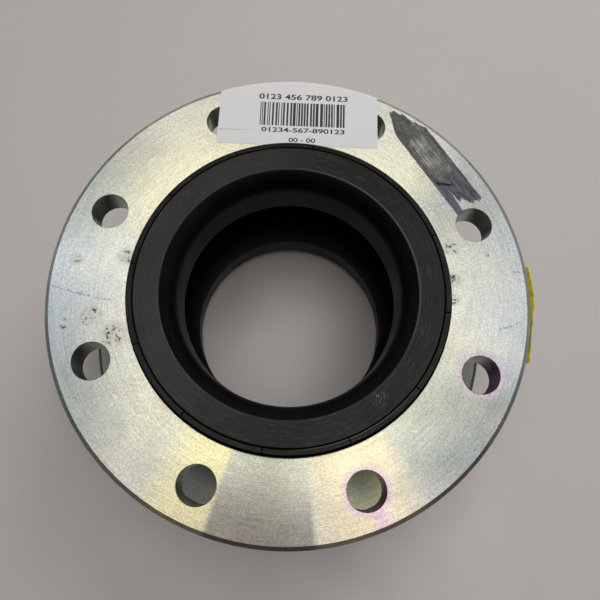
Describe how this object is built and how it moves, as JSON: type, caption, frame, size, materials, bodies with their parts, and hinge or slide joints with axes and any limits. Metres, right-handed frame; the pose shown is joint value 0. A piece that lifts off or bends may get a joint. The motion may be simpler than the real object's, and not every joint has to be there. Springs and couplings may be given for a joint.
{
  "type": "rubber expansion joint",
  "caption": "Single-arch rubber bellows pipe connector with two loose drilled steel flanges, moulded sealing collars, cord plies and wire beads.",
  "frame": {"origin": "centre of the lower sealing face, on which the joint stands", "axes": "+Z along the pipe axis from the lower end to the upper end; the upper flange's first bolt hole is 22.5 degrees from +X and the lower flange's is on +X"},
  "size_m": [0.285, 0.285, 0.13],
  "materials": {
    "zinc_plated_steel": "turned, zinc plated, satin",
    "black_rubber": "moulded, matte, slightly dusty",
    "tube_rubber": "smooth moulded, matte",
    "hard_rubber": "matte",
    "nylon_cord": "rubberised cord fabric",
    "bead_wire": "bronze-coated drawn wire"
  },
  "bodies": {
    "lower_end": {"lower_sealing_collar": "black_rubber", "lower_bead_wires": "bead_wire", "lower_bead_filler": "hard_rubber"},
    "lower_ring": {"lower_flange": "zinc_plated_steel"},
    "lower_shoulder": {"inner_tube": "tube_rubber"},
    "lower_slope": {"cord_ply_1": "nylon_cord"},
    "crown": {"cord_ply_2": "nylon_cord"},
    "upper_slope": {"cord_ply_3": "nylon_cord", "outer_cover": "black_rubber"},
    "upper_end": {"upper_sealing_collar": "black_rubber", "upper_bead_wires": "bead_wire", "upper_bead_filler": "hard_rubber"},
    "upper_ring": {"upper_flange": "zinc_plated_steel"}
  },
  "joints": [
    {"name": "lower_flange_swivel", "type": "hinge", "parent": "lower_end", "child": "lower_ring", "pos_m": [0, 0, 0.016], "axis": [0, 0, 1], "continuous": true},
    {"name": "angular_about_x", "type": "hinge", "parent": "lower_end", "child": "lower_shoulder", "pos_m": [0, 0, 0.065], "axis": [1, 0, 0], "range_deg": [-5, 5], "stiffness_Nm_per_rad": 500, "deforming": ["inner_tube", "cord_ply_1", "cord_ply_2", "cord_ply_3", "outer_cover"]},
    {"name": "lateral_along_x", "type": "slide", "parent": "lower_shoulder", "child": "lower_slope", "axis": [1, 0, 0], "range_m": [-0.01, 0.01], "stiffness_N_per_m": 100000, "deforming": ["inner_tube", "cord_ply_1", "cord_ply_2", "cord_ply_3", "outer_cover"]},
    {"name": "axial", "type": "slide", "parent": "lower_slope", "child": "crown", "axis": [0, 0, 1], "range_m": [-0.015, 0.01], "stiffness_N_per_m": 120000, "deforming": ["inner_tube", "cord_ply_1", "cord_ply_2", "cord_ply_3", "outer_cover"]},
    {"name": "lateral_along_y", "type": "slide", "parent": "crown", "child": "upper_slope", "axis": [0, 1, 0], "range_m": [-0.01, 0.01], "stiffness_N_per_m": 100000, "deforming": ["inner_tube", "cord_ply_1", "cord_ply_2", "cord_ply_3", "outer_cover"]},
    {"name": "angular_about_y", "type": "hinge", "parent": "upper_slope", "child": "upper_end", "pos_m": [0, 0, 0.065], "axis": [0, 1, 0], "range_deg": [-5, 5], "stiffness_Nm_per_rad": 500, "deforming": ["inner_tube", "cord_ply_1", "cord_ply_2", "cord_ply_3", "outer_cover"]},
    {"name": "upper_flange_swivel", "type": "hinge", "parent": "upper_end", "child": "upper_ring", "pos_m": [0, 0, 0.114], "axis": [0, 0, 1], "continuous": true}
  ]
}
